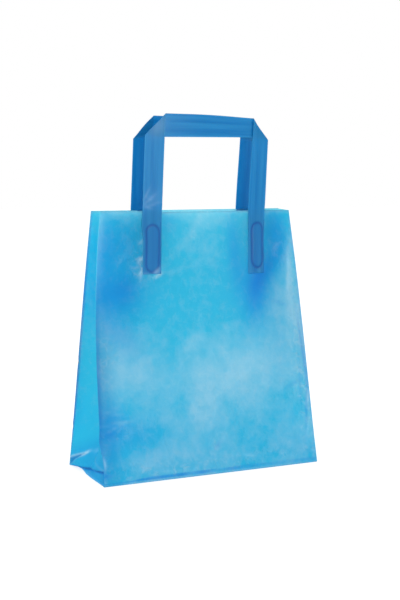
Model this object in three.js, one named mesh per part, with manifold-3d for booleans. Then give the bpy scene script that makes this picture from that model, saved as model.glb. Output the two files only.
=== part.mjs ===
// Plastic carrier bag: a tube of blue polythene film with folded side gussets and a
// welded block bottom, and a flat folded tape handle welded to each panel.
// It stands wide open at the base and almost closed at the mouth, which has turned a little
// against the base. Millimetres, +Z up, origin in the middle of the base, front towards -Y.

import * as THREE from 'three';
import Module from 'manifold-3d';

// Bag
const PANEL_WIDTH = 250;
const GUSSET_WIDTH = 100;
const BAG_HEIGHT = 273.5;
const MOUTH_DEPTH = 18.3;
const MOUTH_TURN = THREE.MathUtils.degToRad(10.5);
const MOUTH_SHIFT = 3.3;
const PANEL_NARROWING = 1.3;
const WALL = 0.8;
const BASE_THICKNESS = 1.2;
const CREASE_HALF_WIDTH = 0.8;

// How the section changes from the base (rise 0) to the mouth (rise 1)
const DEPTH_POWER = 1.7;
const TURN_POWER = 2.4;
const SHIFT_POWER = 2;
const GUSSET_FOLD_RISE = 0.07;
const BAG_LEVELS = 20;

// Handles
const TAPE_WIDTH = 24;
const TAPE_THICKNESS = 0.8;
const HANDLE_SPAN = 162;
const FRONT_HANDLE_TOP = 372.5;
const BACK_HANDLE_TOP = 370;
const HANDLE_FOOT = 208;
const HANDLE_LEAN = 4;
const FRONT_HANDLE_OFFSET = 7;
const BACK_HANDLE_OFFSET = -5.5;
const FRONT_RIGHT_FOOT_IN = 5.5;
const HANDLE_GAP = 0.35;
const LAYER_OVERLAP = 0.1;
const LEG_LEVELS = 8;

// Heat weld that holds each leg to its panel
const WELD_WIDTH = 16;
const WELD_LENGTH = 48;
const WELD_MIDDLE = 235;
const WELD_DEPTH = 0.3;
const WELD_ARC_STEPS = 8;

const FILM_BLUE = 0x3fb0e0;
const TAPE_BLUE = 0x2b80bd;

const wasm = await Module();
wasm.setup();

// ---- section of the bag ----

// Place and size of the bag's section at a height; above the mouth it stays the mouth's.
function sectionAt(height) {
  const rise = Math.min(height / BAG_HEIGHT, 1);
  const closing = (1 - rise) ** DEPTH_POWER;
  const halfDepth = (MOUTH_DEPTH + (GUSSET_WIDTH - MOUTH_DEPTH) * closing) / 2;
  const halfFold = GUSSET_WIDTH / 2;
  const flatInset = Math.sqrt(halfFold ** 2 - halfDepth ** 2);
  return {
    halfWidth: PANEL_WIDTH / 2 - PANEL_NARROWING * rise,
    halfDepth,
    inset: flatInset * (1 - Math.exp(-rise / GUSSET_FOLD_RISE)),
    turn: MOUTH_TURN * rise ** TURN_POWER,
    shift: MOUTH_SHIFT * rise ** SHIFT_POWER,
  };
}

// The section's eight corners, anticlockwise from the front left one, before it is turned.
function sectionOutline({ halfWidth, halfDepth, inset }) {
  const crease = halfWidth - inset;
  return [
    new THREE.Vector2(-halfWidth, -halfDepth),
    new THREE.Vector2(halfWidth, -halfDepth),
    new THREE.Vector2(crease, -CREASE_HALF_WIDTH),
    new THREE.Vector2(crease, CREASE_HALF_WIDTH),
    new THREE.Vector2(halfWidth, halfDepth),
    new THREE.Vector2(-halfWidth, halfDepth),
    new THREE.Vector2(-crease, CREASE_HALF_WIDTH),
    new THREE.Vector2(-crease, -CREASE_HALF_WIDTH),
  ];
}

// An anticlockwise outline with every side moved inwards by a distance.
function shrinkOutline(outline, distance) {
  return outline.map((corner, index) => {
    const before = outline[(index + outline.length - 1) % outline.length];
    const after = outline[(index + 1) % outline.length];
    const sideIn = corner.clone().sub(before).normalize();
    const sideOut = after.clone().sub(corner).normalize();
    const normalIn = new THREE.Vector2(-sideIn.y, sideIn.x);
    const normalOut = new THREE.Vector2(-sideOut.y, sideOut.x);
    const mitre = normalIn.clone().add(normalOut);
    mitre.multiplyScalar(distance / (1 + normalIn.dot(normalOut)));
    return corner.clone().add(mitre);
  });
}

function sectionRing(height, wall) {
  const section = sectionAt(height);
  const outline = shrinkOutline(sectionOutline(section), wall);
  return outline.map(({ x, y }) => {
    const point = new THREE.Vector2(x, y).rotateAround(new THREE.Vector2(), section.turn);
    return new THREE.Vector3(point.x, point.y + section.shift, height);
  });
}

// ---- solids ----

function capFaces(ring) {
  const normal = new THREE.Vector3();
  ring.forEach((point, index) => {
    normal.add(point.clone().cross(ring[(index + 1) % ring.length]));
  });
  const flatten = new THREE.Quaternion().setFromUnitVectors(
    normal.normalize(),
    new THREE.Vector3(0, 0, 1),
  );
  const outline = ring.map((point) => {
    const flat = point.clone().applyQuaternion(flatten);
    return new THREE.Vector2(flat.x, flat.y);
  });
  return THREE.ShapeUtils.triangulateShape(outline, []);
}

// Closed solid through rings of equal count, each anticlockwise about the way it grows.
function loft(rings) {
  const count = rings[0].length;
  const lastStart = (rings.length - 1) * count;
  const faces = [];
  for (let start = 0; start < lastStart; start += count) {
    for (let side = 0; side < count; side += 1) {
      const here = start + side;
      const next = start + ((side + 1) % count);
      faces.push([here, next, next + count], [here, next + count, here + count]);
    }
  }
  capFaces(rings[0]).forEach(([a, b, c]) => faces.push([a, c, b]));
  capFaces(rings[rings.length - 1]).forEach((face) => {
    faces.push(face.map((index) => index + lastStart));
  });
  const positions = rings.flat().flatMap((point) => point.toArray());
  return new wasm.Manifold(new wasm.Mesh({
    numProp: 3,
    vertProperties: new Float32Array(positions),
    triVerts: new Uint32Array(faces.flat()),
  }));
}

function toGeometry(solid) {
  const mesh = solid.getMesh();
  const geometry = new THREE.BufferGeometry();
  geometry.setAttribute('position', new THREE.BufferAttribute(mesh.vertProperties, 3));
  geometry.setIndex(new THREE.BufferAttribute(mesh.triVerts, 1));
  return geometry;
}

function heightsBetween(low, high, steps) {
  return Array.from({ length: steps + 1 }, (_, step) => low + ((high - low) * step) / steps);
}

// ---- bag body ----

// The film tube and its closed base: the outside, less the inside, which runs out of the mouth.
function bagBody() {
  const heights = heightsBetween(0, BAG_HEIGHT, BAG_LEVELS);
  const outside = heights.map((height) => sectionRing(height, 0));
  const inside = [BASE_THICKNESS, ...heights.slice(1)].map((height) => sectionRing(height, WALL));
  const pastMouth = sectionRing(BAG_HEIGHT, WALL).map((point) => point.setZ(BAG_HEIGHT + WALL));
  return loft(outside).subtract(loft([...inside, pastMouth]));
}

// ---- handles ----

// Point on a panel's outside: along it, out from it and up. Seen from outside its panel,
// along runs to the right. Above the mouth the handle leans along a little.
function panelPoint(back, along, out, height) {
  const section = sectionAt(height);
  const above = Math.max(height - BAG_HEIGHT, 0) / (FRONT_HANDLE_TOP - BAG_HEIGHT);
  const lean = HANDLE_LEAN * above * (back ? -1 : 1);
  const flat = new THREE.Vector2(along + lean, -section.halfDepth - out);
  flat.rotateAround(new THREE.Vector2(), section.turn + (back ? Math.PI : 0));
  return new THREE.Vector3(flat.x, flat.y + section.shift, height);
}

// Plate with an outline in the plane of the handle, between two distances from the panel.
function plate(back, outline, inner, outer) {
  return loft([inner, outer].map((out) => (
    outline.map(([along, height]) => panelPoint(back, along, out, height))
  )));
}

// How far a leg whose foot is drawn in stands in at a height.
function drawnIn(footIn, height) {
  return (footIn * Math.max(BAG_HEIGHT - height, 0)) / (BAG_HEIGHT - HANDLE_FOOT);
}

// One leg of tape that follows the panel up to the mouth and goes straight on above it.
function leg({ back, low, top, footIn, inner, outer }) {
  const heights = [
    ...heightsBetween(HANDLE_FOOT, BAG_HEIGHT, LEG_LEVELS),
    top - TAPE_WIDTH,
  ];
  return loft(heights.map((height) => {
    const left = low - drawnIn(footIn, height);
    const right = left + TAPE_WIDTH;
    return [
      panelPoint(back, left, outer, height),
      panelPoint(back, right, outer, height),
      panelPoint(back, right, inner, height),
      panelPoint(back, left, inner, height),
    ];
  }));
}

function weldOutline(middle, footIn) {
  const radius = WELD_WIDTH / 2;
  const straight = WELD_LENGTH / 2 - radius;
  const points = [];
  [0, Math.PI].forEach((start) => {
    for (let step = 0; step <= WELD_ARC_STEPS; step += 1) {
      const angle = start + (Math.PI * step) / WELD_ARC_STEPS;
      const end = start === 0 ? straight : -straight;
      const height = WELD_MIDDLE + end + radius * Math.sin(angle);
      points.push([middle + radius * Math.cos(angle) - drawnIn(footIn, height), height]);
    }
  });
  return points;
}

// A tape folded over at 45 degrees at both top corners: the legs lie outside the band.
function handle({ back, offset, top, rightFootIn }) {
  const low = offset - HANDLE_SPAN / 2;
  const high = offset + HANDLE_SPAN / 2;
  const mitre = top - TAPE_WIDTH;
  const legInner = HANDLE_GAP;
  const legOuter = legInner + TAPE_THICKNESS;
  const bandInner = legInner - TAPE_THICKNESS;
  const bandOuter = legInner + LAYER_OVERLAP;

  const band = plate(back, [
    [low, mitre],
    [high, mitre],
    [high - TAPE_WIDTH, top],
    [low + TAPE_WIDTH, top],
  ], bandInner, bandOuter);
  const leftCorner = plate(back, [
    [low, mitre - LAYER_OVERLAP],
    [low + TAPE_WIDTH, mitre - LAYER_OVERLAP],
    [low + TAPE_WIDTH, top],
    [low, mitre],
  ], legInner, legOuter);
  const rightCorner = plate(back, [
    [high - TAPE_WIDTH, mitre - LAYER_OVERLAP],
    [high, mitre - LAYER_OVERLAP],
    [high, mitre],
    [high - TAPE_WIDTH, top],
  ], legInner, legOuter);
  const legs = [
    { low, footIn: 0 },
    { low: high - TAPE_WIDTH, footIn: rightFootIn },
  ];
  const solid = wasm.Manifold.union([
    band,
    leftCorner,
    rightCorner,
    ...legs.map((side) => leg({ back, top, inner: legInner, outer: legOuter, ...side })),
  ]);
  const welds = legs.map((side) => {
    const outline = weldOutline(side.low + TAPE_WIDTH / 2, side.footIn);
    return plate(back, outline, legOuter - WELD_DEPTH, legOuter + WELD_DEPTH);
  });
  return solid.subtract(wasm.Manifold.union(welds));
}

// ---- assembly ----

function addPiece(group, name, solid, colour, roughness) {
  const material = new THREE.MeshStandardMaterial({ color: colour, roughness, metalness: 0 });
  const mesh = new THREE.Mesh(toGeometry(solid), material);
  mesh.name = name;
  group.add(mesh);
}

const carrierBag = new THREE.Group();
addPiece(carrierBag, 'bag_body', bagBody(), FILM_BLUE, 0.45);
const frontHandle = handle({
  back: false,
  offset: FRONT_HANDLE_OFFSET,
  top: FRONT_HANDLE_TOP,
  rightFootIn: FRONT_RIGHT_FOOT_IN,
});
const backHandle = handle({
  back: true,
  offset: BACK_HANDLE_OFFSET,
  top: BACK_HANDLE_TOP,
  rightFootIn: 0,
});
addPiece(carrierBag, 'front_handle', frontHandle, TAPE_BLUE, 0.35);
addPiece(carrierBag, 'back_handle', backHandle, TAPE_BLUE, 0.35);

export default carrierBag;
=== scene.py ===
import math
import random
from collections import namedtuple

import bpy
from mathutils import Matrix, Vector, noise


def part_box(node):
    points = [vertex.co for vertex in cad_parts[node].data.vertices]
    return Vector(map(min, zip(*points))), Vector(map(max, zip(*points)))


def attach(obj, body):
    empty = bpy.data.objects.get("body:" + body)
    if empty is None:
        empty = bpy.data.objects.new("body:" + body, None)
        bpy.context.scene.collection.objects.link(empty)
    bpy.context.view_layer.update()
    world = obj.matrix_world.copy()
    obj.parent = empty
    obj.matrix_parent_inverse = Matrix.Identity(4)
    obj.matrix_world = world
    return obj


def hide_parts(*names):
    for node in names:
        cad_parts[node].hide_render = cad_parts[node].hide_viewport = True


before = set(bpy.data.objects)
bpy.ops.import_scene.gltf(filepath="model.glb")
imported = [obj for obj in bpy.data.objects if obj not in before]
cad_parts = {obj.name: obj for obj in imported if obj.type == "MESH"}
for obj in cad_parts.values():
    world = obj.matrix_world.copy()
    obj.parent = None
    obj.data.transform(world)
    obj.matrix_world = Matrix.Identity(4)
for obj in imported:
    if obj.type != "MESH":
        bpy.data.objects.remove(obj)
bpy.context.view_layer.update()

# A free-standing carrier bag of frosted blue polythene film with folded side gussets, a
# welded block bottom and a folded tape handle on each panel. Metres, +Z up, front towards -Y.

MM = 0.001

# ---- sizes ----

body_low, body_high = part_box("bag_body")
front_handle_low, front_handle_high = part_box("front_handle")
_, back_handle_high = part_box("back_handle")

PANEL_WIDTH = 250 * MM
GUSSET_WIDTH = body_high.y - body_low.y
SIDE_PITCH = PANEL_WIDTH + GUSSET_WIDTH
BAG_HEIGHT = body_high.z

# The mouth against the base, the powers of height by which it closes and turns, and the
# share of the height in which the gussets have folded in
MOUTH_DEPTH = 18.3 * MM
MOUTH_TURN = math.radians(10.5)
MOUTH_SHIFT = 3.3 * MM
PANEL_NARROWING = 1.3 * MM
DEPTH_POWER = 1.7
TURN_POWER = 2.4
GUSSET_FOLD_RISE = 0.07
FRONT_HEM_DROP = 1.4 * MM

# The film is drawn 0.15 mm thick: the real one is about 0.07 mm
FILM_THICKNESS = 0.15 * MM
FOLD_RADIUS = 0.35 * MM
BASE_RADIUS = 0.9 * MM
BASE_WELD_Y = 4 * MM

# How far a gusset bows, as a share of the arc that all of its slack would make
GUSSET_BOW = 0.6

# Waves of the film: their size along it and how far they stand out
BROAD_WAVE = 95 * MM
BROAD_WAVE_DEPTH = 2.4 * MM
RIPPLE = 32 * MM
RIPPLE_DEPTH = 0.8 * MM
PILLOW_DEPTH = 1.2 * MM
GUSSET_WAVE = 40 * MM
GUSSET_WAVE_DEPTH = 0.9 * MM
CREASES_PER_PANEL = 42

# Lines of a corner tuck on the gusset: height at the front edge, and rise for each metre back
TUCK_FOLD_LINE = (14.8 * MM, -0.147)
TUCK_FRONT_RIDGE_LINE = (16 * MM, 0.16)
TUCK_BACK_RIDGE_LINE = (45 * MM, -0.357)
TUCK_SECOND_LINE = (62.8 * MM, -0.6375)
TUCK_RIDGE_OUT = 1.1 * MM
TUCK_FOLD_OUT = 0.6 * MM
TUCK_POCKET_IN = 2.6 * MM
RIGHT_TUCK_STRENGTH = 0.6

# A handle: its span over both legs, and how far its top leans to the right
HANDLE_TOP = front_handle_high.z
BACK_HANDLE_TOP = back_handle_high.z
HANDLE_FOOT = front_handle_low.z
HANDLE_SPAN = 162 * MM
HANDLE_LEAN = 4 * MM

# Its tape: the gap between it and the panel, and how deep it follows the panel's hollows
TAPE_WIDTH = 24 * MM
TAPE_THICKNESS = 0.45 * MM
TAPE_FOLD_RADIUS = 0.75 * TAPE_THICKNESS
TAPE_GAP = 0.25 * MM
TAPE_SINK = 0.2 * MM

# A foot's oblong heat weld: its pressed outline and the melted tape inside it
WELD_WIDTH = 16.4 * MM
WELD_LENGTH = 48 * MM
WELD_MIDDLE = 235 * MM
WELD_OFFSET = 1.0 * MM
WELD_LINE = 1.4 * MM
WELD_PRESSED = 0.3 * MM
MELT_RAISED = 0.12 * MM

# Mesh: columns across the pieces, and levels or rows along them
PANEL_COLUMNS = 100
COLUMN_CROWDING = 0.3
GUSSET_COLUMNS = 20
FOLD_COLUMNS = 6
BASE_STEPS = 4
TUCK_TOP = 45 * MM
TUCK_LEVELS = 44
UPPER_LEVELS = 84
TAPE_COLUMNS = 32
FOOT_ROWS = 92
LEG_ROWS = 40
FOLD_ROWS = 16
BAND_ROWS = 36
FOLD_MARGIN = 2 * MM


# ---- shaping functions ----

def smooth(edge0, edge1, value):
    """A soft step from 0 at one edge to 1 at the other."""
    share = min(max((value - edge0) / (edge1 - edge0), 0), 1)
    return share * share * (3 - 2 * share)


def bump_at(distance, width):
    """A soft bump: 1 at no distance and nearly 0 at twice the width."""
    return math.exp(-(distance / width) ** 2)


def streak(x, z, mid_x, mid_z, half_length, half_width, tilt):
    """A soft patch, given in millimetres, longer one way and turned by a tilt in degrees."""
    dx, dz = x - mid_x * MM, z - mid_z * MM
    turn = math.radians(tilt)
    along = (dx * math.cos(turn) + dz * math.sin(turn)) / (half_length * MM)
    across = (dz * math.cos(turn) - dx * math.sin(turn)) / (half_width * MM)
    reach = along * along + across * across
    return math.exp(-reach) if reach < 9 else 0.0


def patch_sum(patches, x, z):
    """All of a list's patches together, each with its own strength."""
    return sum(streak(x, z, *patch[:5]) * patch[5] for patch in patches)


def rough(x, z, size, seed):
    """Smooth noise from -1 to 1 with features of about a size."""
    return noise.noise(Vector((x / size, z / size, seed)))


# ---- section of the bag ----

def section_at(height):
    """Half width, half depth, gusset inset, turn and shift of the bag at a height."""
    rise = min(max(height / BAG_HEIGHT, 0), 1)
    closing = (1 - rise) ** DEPTH_POWER
    half_depth = (MOUTH_DEPTH + (GUSSET_WIDTH - MOUTH_DEPTH) * closing) / 2
    flat_inset = math.sqrt(max((GUSSET_WIDTH / 2) ** 2 - half_depth ** 2, 0))
    inset = flat_inset * (1 - math.exp(-rise / GUSSET_FOLD_RISE))
    return (
        PANEL_WIDTH / 2 - PANEL_NARROWING * rise,
        half_depth,
        inset,
        MOUTH_TURN * rise ** TURN_POWER,
        MOUTH_SHIFT * rise ** 2,
    )


def place(x, y, height):
    """A point of the section, turned and shifted to where the section stands."""
    _, _, _, turn, shift = section_at(height)
    return Vector((
        x * math.cos(turn) - y * math.sin(turn),
        x * math.sin(turn) + y * math.cos(turn) + shift,
        height,
    ))


def panel_share(column):
    """Share of a panel's width at a column: columns stand closer together near its edges."""
    share = column / PANEL_COLUMNS
    return share - COLUMN_CROWDING * math.sin(2 * math.pi * share) / (2 * math.pi)


def panel_points(half_width, half_depth):
    """The front panel, from left to right."""
    points = []
    for column in range(PANEL_COLUMNS + 1):
        share = panel_share(column)
        x = (half_width - FOLD_RADIUS) * (2 * share - 1)
        points.append((x, -half_depth, share * PANEL_WIDTH, 0.0, -1.0))
    return points


def arc_points(middle, along, start, turn, steps, side):
    """Points round a fold, whose normals point away from its middle (1) or to it (-1)."""
    points = []
    for step in steps:
        angle = start + turn * step / FOLD_COLUMNS
        out = Vector((math.cos(angle), math.sin(angle)))
        spot = middle + out * FOLD_RADIUS * side
        points.append((spot.x, spot.y, along, out.x, out.y))
    return points


def half_gusset_points(edge_end, crease, inset):
    """A gusset's film from the front edge to its crease, bowed by some of its slack."""
    start, out = Vector(edge_end[:2]), Vector(edge_end[3:5])
    end = crease - out * FOLD_RADIUS
    chord = (end - start).length
    slack = max(GUSSET_WIDTH / 2 - chord, 0)
    full_bow = math.sqrt(3 / 8 * chord * slack)
    bow = GUSSET_BOW * full_bow * smooth(0, 8 * MM, inset)
    points = []
    for column in range(1, GUSSET_COLUMNS):
        share = column / GUSSET_COLUMNS
        spot = start.lerp(end, share) + out * bow * math.sin(math.pi * share)
        points.append((spot.x, spot.y, PANEL_WIDTH + share * GUSSET_WIDTH / 2, out.x, out.y))
    return points


def front_and_gusset(height):
    """Half of the section: the front panel and the front half of the right gusset.

    Gives (x, y, distance along the film, normal x, normal y) for each point.
    """
    half_width, half_depth, inset, _, _ = section_at(height)
    corner = Vector((half_width - FOLD_RADIUS, -half_depth + FOLD_RADIUS))
    crease = Vector((half_width - max(inset, FOLD_RADIUS), 0.0))
    to_crease = crease - corner
    heading = math.atan2(to_crease.y, to_crease.x)
    heading += math.asin(min(2 * FOLD_RADIUS / to_crease.length, 1))
    edge = arc_points(
        corner, PANEL_WIDTH, -math.pi / 2, heading, range(1, FOLD_COLUMNS + 1), 1
    )
    fold = arc_points(
        crease, PANEL_WIDTH + GUSSET_WIDTH / 2, heading - math.pi / 2,
        math.pi - 2 * heading, range(FOLD_COLUMNS // 2 + 1), -1,
    )
    panel = panel_points(half_width, half_depth)
    return panel + edge + half_gusset_points(edge[-1], crease, inset) + fold


def loop_at(height):
    """The whole section, anticlockwise from the front left edge, without its last repeat."""
    front = front_and_gusset(height)
    mirrored = [
        (x, -y, PANEL_WIDTH + SIDE_PITCH - along, nx, -ny)
        for x, y, along, nx, ny in reversed(front[PANEL_COLUMNS:-1])
    ]
    half = front + mirrored[:-1]
    other = [(-x, -y, along + SIDE_PITCH, -nx, -ny) for x, y, along, nx, ny in half]
    return half + other


def side_of(along):
    """Side of a point, 0 for front and right or 1 for back and left, and how far along it."""
    side = 0 if along < SIDE_PITCH else 1
    return side, along - side * SIDE_PITCH


def as_front(side, along_side):
    """The same place on the front panel: the back panel is its mirror image."""
    return along_side if side == 0 else PANEL_WIDTH - along_side


def across_gusset(side, along_side):
    """Distance back from a gusset's front edge."""
    across = along_side - PANEL_WIDTH
    return GUSSET_WIDTH - across if side else across


# ---- relief of the film ----

def make_creases(chance):
    """Straight crumple creases of a panel: (x, z, angle, length, depth, width)."""
    return [
        (
            chance.uniform(0.05, 0.95) * PANEL_WIDTH,
            chance.uniform(0.06, 0.94) * BAG_HEIGHT,
            chance.uniform(0, math.pi),
            chance.uniform(15, 50) * MM,
            chance.uniform(-0.4, 0.4) * MM,
            chance.uniform(1.5, 5) * MM,
        )
        for _ in range(CREASES_PER_PANEL)
    ]


PANEL_CREASES = [make_creases(random.Random(seed)) for seed in (11, 12)]

# Long soft folds of the front panel, in millimetres: middle, half length, half width, tilt, depth
PANEL_FOLDS = [
    (243, 125, 60, 2.2, 91, 0.9),
    (238, 128, 60, 2.2, 90, -0.6),
    (15, 55, 16, 2.0, 22, 0.7),
    (14, 47, 14, 2.0, 12, -0.7),
    (24, 62, 12, 2.5, -15, 0.5),
    (105, 245, 34, 4.0, 48, 0.7),
    (115, 214, 34, 3.0, 12, 0.6),
    (48, 230, 10, 2.0, 60, 0.7),
    (46, 243, 9, 2.0, 40, 0.6),
    (47, 214, 9, 2.2, -35, 0.8),
    (72, 206, 9, 2.0, 25, 0.6),
    (225, 232, 12, 2.5, 42, 0.6),
    (165, 105, 26, 3.0, 30, 0.5),
    (120, 62, 28, 3.0, 66, 0.5),
    (124, 30, 3, 2.0, 0, -0.6),
    (137, 33, 5, 3.0, 60, -0.8),
    (3, 116, 5, 2.0, 0, -0.9),
]


def crease_relief(creases, x, z):
    """How far a panel's crumple creases stand out at a point."""
    total = 0.0
    for mid_x, mid_z, angle, length, depth, width in creases:
        dx, dz = x - mid_x, z - mid_z
        if abs(dx) > length or abs(dz) > length:
            continue
        along = dx * math.cos(angle) + dz * math.sin(angle)
        across = dz * math.cos(angle) - dx * math.sin(angle)
        total += depth * bump_at(across, width) * bump_at(along, length / 2)
    return total


def panel_relief(side, along_side, height):
    """How far a panel's film stands out of its plane: waves, long folds and crumples."""
    across = along_side / PANEL_WIDTH
    edge = smooth(0, 0.1, across) * smooth(0, 0.1, 1 - across)
    foot = smooth(0, 18 * MM, height)
    mouth = 1 - smooth(0.8 * BAG_HEIGHT, BAG_HEIGHT, height)
    seed = 7.3 * side
    broad = rough(along_side, height, BROAD_WAVE, seed + 0.5) * BROAD_WAVE_DEPTH
    ripple = rough(along_side, height * 0.7, RIPPLE, seed + 4.5) * RIPPLE_DEPTH
    pillow = PILLOW_DEPTH * math.sin(math.pi * across) * mouth
    folds = patch_sum(PANEL_FOLDS, as_front(side, along_side), height) * MM
    crumple = crease_relief(PANEL_CREASES[side], along_side, height)
    soft = (broad + ripple) * edge * mouth
    return (soft + crumple * edge * (0.3 + 0.7 * mouth) + folds + pillow) * foot


def line_height(line, across):
    """Height of one of the tuck's lines at a distance back from the front edge."""
    start, rise = line
    return start + rise * across


def tuck_lines(across):
    """Heights of the tuck's overhanging fold, its ridge and the crease between them.

    The ridge falls to the back corner and, more gently, to the front one. The second crease
    leaves it behind the middle and runs down steeply to the back corner.
    """
    fold = line_height(TUCK_FOLD_LINE, across)
    front_ridge = line_height(TUCK_FRONT_RIDGE_LINE, across)
    ridge = min(line_height(TUCK_BACK_RIDGE_LINE, across), front_ridge)
    second = min(line_height(TUCK_SECOND_LINE, across), ridge)
    return fold, ridge, max(second, fold + 0.4 * MM)


def under_fold(across, height, fold):
    """How far the film is drawn in below the tuck's overhanging fold."""
    at_floor = 5.0 * MM * bump_at(across - 80 * MM, 20 * MM) + 0.4 * MM
    at_fold = 3.4 * MM * smooth(0, 14 * MM, across)
    share = height / fold
    drawn_in = at_floor * (1 - share) + at_fold * share
    return drawn_in * smooth(0, 0.9 * MM, fold - height)


def tuck_relief(across, height):
    """How far the gusset's film stands out where it is tucked over the block bottom."""
    fold, ridge, second = tuck_lines(across)
    if height < fold:
        depth = under_fold(across, height, fold)
    elif height < second:
        share = (height - fold) / (second - fold)
        depth = -TUCK_FOLD_OUT * (1 - share) - TUCK_RIDGE_OUT * share
    elif height < ridge:
        share = (height - second) / (ridge - second)
        depth = TUCK_POCKET_IN * math.sin(math.pi * share) - TUCK_RIDGE_OUT
    else:
        depth = -TUCK_RIDGE_OUT * bump_at(height - ridge, 5 * MM)
    ends = smooth(0, 5 * MM, across) * smooth(0, 3 * MM, GUSSET_WIDTH - across)
    return -depth * ends


def gusset_relief(along, height):
    """How far a gusset's film stands out sideways: its tuck, and soft waves above it."""
    side, along_side = side_of(along)
    across = across_gusset(side, along_side)
    strength = 1.0 if side else RIGHT_TUCK_STRENGTH
    wave = abs(rough(along, height, GUSSET_WAVE, 9.1)) * GUSSET_WAVE_DEPTH
    wave *= smooth(0, 0.2, height / BAG_HEIGHT) * smooth(0, 10 * MM, across)
    return tuck_relief(across, height) * strength - wave


def edge_lean(from_front_left, height):
    """How far to the right the front left edge, and the back right one, stray from straight.

    They stray to the right just above the base, and to the left a little higher.
    """
    from_edge = min(from_front_left, abs(SIDE_PITCH - from_front_left))
    lean = 1.3 * MM * bump_at(height - 20 * MM, 12 * MM)
    lean -= 1.5 * MM * bump_at(height - 43 * MM, 10 * MM)
    return lean * bump_at(from_edge, 12 * MM)


def hem_drop(along_front, height):
    """The front panel's hem hangs a little lower, to the right of the left leg."""
    over_panel = smooth(35 * MM, 75 * MM, along_front)
    over_panel *= smooth(PANEL_WIDTH + 12 * MM, PANEL_WIDTH, along_front)
    return FRONT_HEM_DROP * over_panel * smooth(BAG_HEIGHT - 60 * MM, BAG_HEIGHT, height)


def film_point(point, height):
    """Place of one point of the section with the film's relief."""
    x, y, along, nx, ny = point
    side, along_side = side_of(along)
    along_front = along if side == 0 else along - 2 * SIDE_PITCH
    x += edge_lean(abs(along_front), height)
    if along_side <= PANEL_WIDTH:
        relief = panel_relief(side, along_side, height)
        spot = place(x + nx * relief, y + ny * relief, height)
    else:
        relief = gusset_relief(along, height)
        spot = place(x + math.copysign(1, x) * relief, y, height)
    spot.z = height - hem_drop(along_front, height)
    return spot


# ---- marks of the film: where it is whitened, milky or doubled, with painted sheen, highlights and shade ----

# In each list below a patch of the front panel is, in millimetres, its middle, half length and
# half width, then its tilt in degrees and its strength. The back panel mirrors them.

# Milky patches of the frosted film, partly painted sheen, and clearer ones
SHEEN_AND_BLOOM_PATCHES = [
    (160, 98, 58, 28, 0, 0.42),
    (35, 108, 26, 18, 0, 0.34),
    (114, 62, 34, 13, 64, 0.22),
    (78, 20, 52, 9, 0, 0.10),
    (240, 205, 34, 5, 84, 0.55),
    (236, 165, 9, 6, 60, 0.40),
    (234, 127, 7, 5, 80, 0.24),
    (244, 150, 30, 6, 90, 0.25),
    (247, 70, 10, 2, 75, 0.40),
    (50, 18, 12, 6, 0, 0.14),
    (226, 140, 24, 14, 60, 0.05),
    (152, 147, 18, 8, 30, 0.18),
    (110, 136, 20, 9, 42, 0.38),
    (40, 148, 26, 10, 10, 0.16),
    (132, 266, 30, 8, 0, 0.36),
    (110, 247, 32, 5, 46, 0.28),
    (132, 236, 24, 22, 0, 0.22),
    (118, 216, 32, 4, 10, 0.10),
    (22, 268, 18, 6, 0, 0.20),
    (49, 214, 8, 12, 30, 0.20),
    (3, 240, 40, 4, 90, 0.50),
    (225, 232, 9, 4, 42, 0.30),
    (167, 103, 30, 7, 30, 0.18),
    (247, 60, 60, 3, 90, 0.25),
    (75, 122, 16, 15, 0, -0.34),
    (88, 82, 14, 24, 0, -0.22),
    (28, 52, 32, 24, 0, -0.40),
    (52, 42, 30, 10, 0, -0.26),
    (8, 15, 14, 34, 0, -0.22),
    (165, 42, 44, 11, 0, -0.18),
    (205, 40, 50, 44, 0, -0.26),
    (200, 78, 22, 14, 0, -0.18),
    (130, 10, 120, 16, 0, -0.27),
    (90, 5, 90, 5, 0, -0.12),
    (8, 95, 40, 10, 90, -0.14),
    (34, 74, 14, 20, 0, -0.08),
    (193, 165, 20, 18, 0, -0.12),
    (90, 56, 14, 18, 0, -0.22),
    (90, 104, 10, 12, 0, -0.10),
    (128, 44, 12, 8, 0, -0.15),
    (70, 44, 12, 8, 0, -0.13),
    (172, 42, 10, 8, 0, 0.12),
    (210, 64, 10, 8, 0, 0.10),
    (193, 148, 14, 14, 0, -0.10),
    (12, 172, 16, 6, -35, 0.10),
    (88, 264, 10, 8, 0, -0.12),
    (135, 126, 16, 8, 0, 0.14),
    (130, 146, 12, 8, 0, -0.12),
]

# Sharp whitened creases with painted glints of puckered film, on the front panel alone
SHARP_CREASES_AND_GLINTS = [
    (50, 242, 3.6, 1.6, 35, 0.45),
    (51, 225, 3.6, 1.8, 30, 0.75),
    (53, 212, 4.0, 2.2, 40, 0.80),
    (50, 207, 2.0, 5.0, 15, 0.40),
    (71, 207, 5.0, 1.8, 20, 0.70),
    (28, 226, 7, 2.2, 55, 0.10),
    (1.5, 22, 6, 1.6, 92, 0.55),
    (22, 61, 18, 1.3, 6, 0.22),
    (16, 56, 10, 1.2, 24, 0.16),
    (18, 70, 14, 1.4, -14, 0.14),
    (236, 190, 12, 2.0, 78, 0.30),
    (240, 215, 12, 1.6, 84, 0.25),
    (247, 68, 9, 1.5, 78, 0.35),
    (243, 36, 8, 1.4, 70, 0.22),
    (167, 15, 8, 1.4, -12, 0.25),
    (138, 36, 6, 1.4, 62, 0.16),
    (78, 8, 16, 1.6, -4, 0.20),
    (60, 1.3, 44, 0.7, 0, 0.30),
    (170, 1.3, 60, 0.7, 0, 0.22),
    (104, 9, 5, 1.6, 30, 0.25),
    (125, 52, 16, 1.6, 66, 0.10),
    (165, 98, 18, 1.8, 36, 0.12),
]
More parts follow.
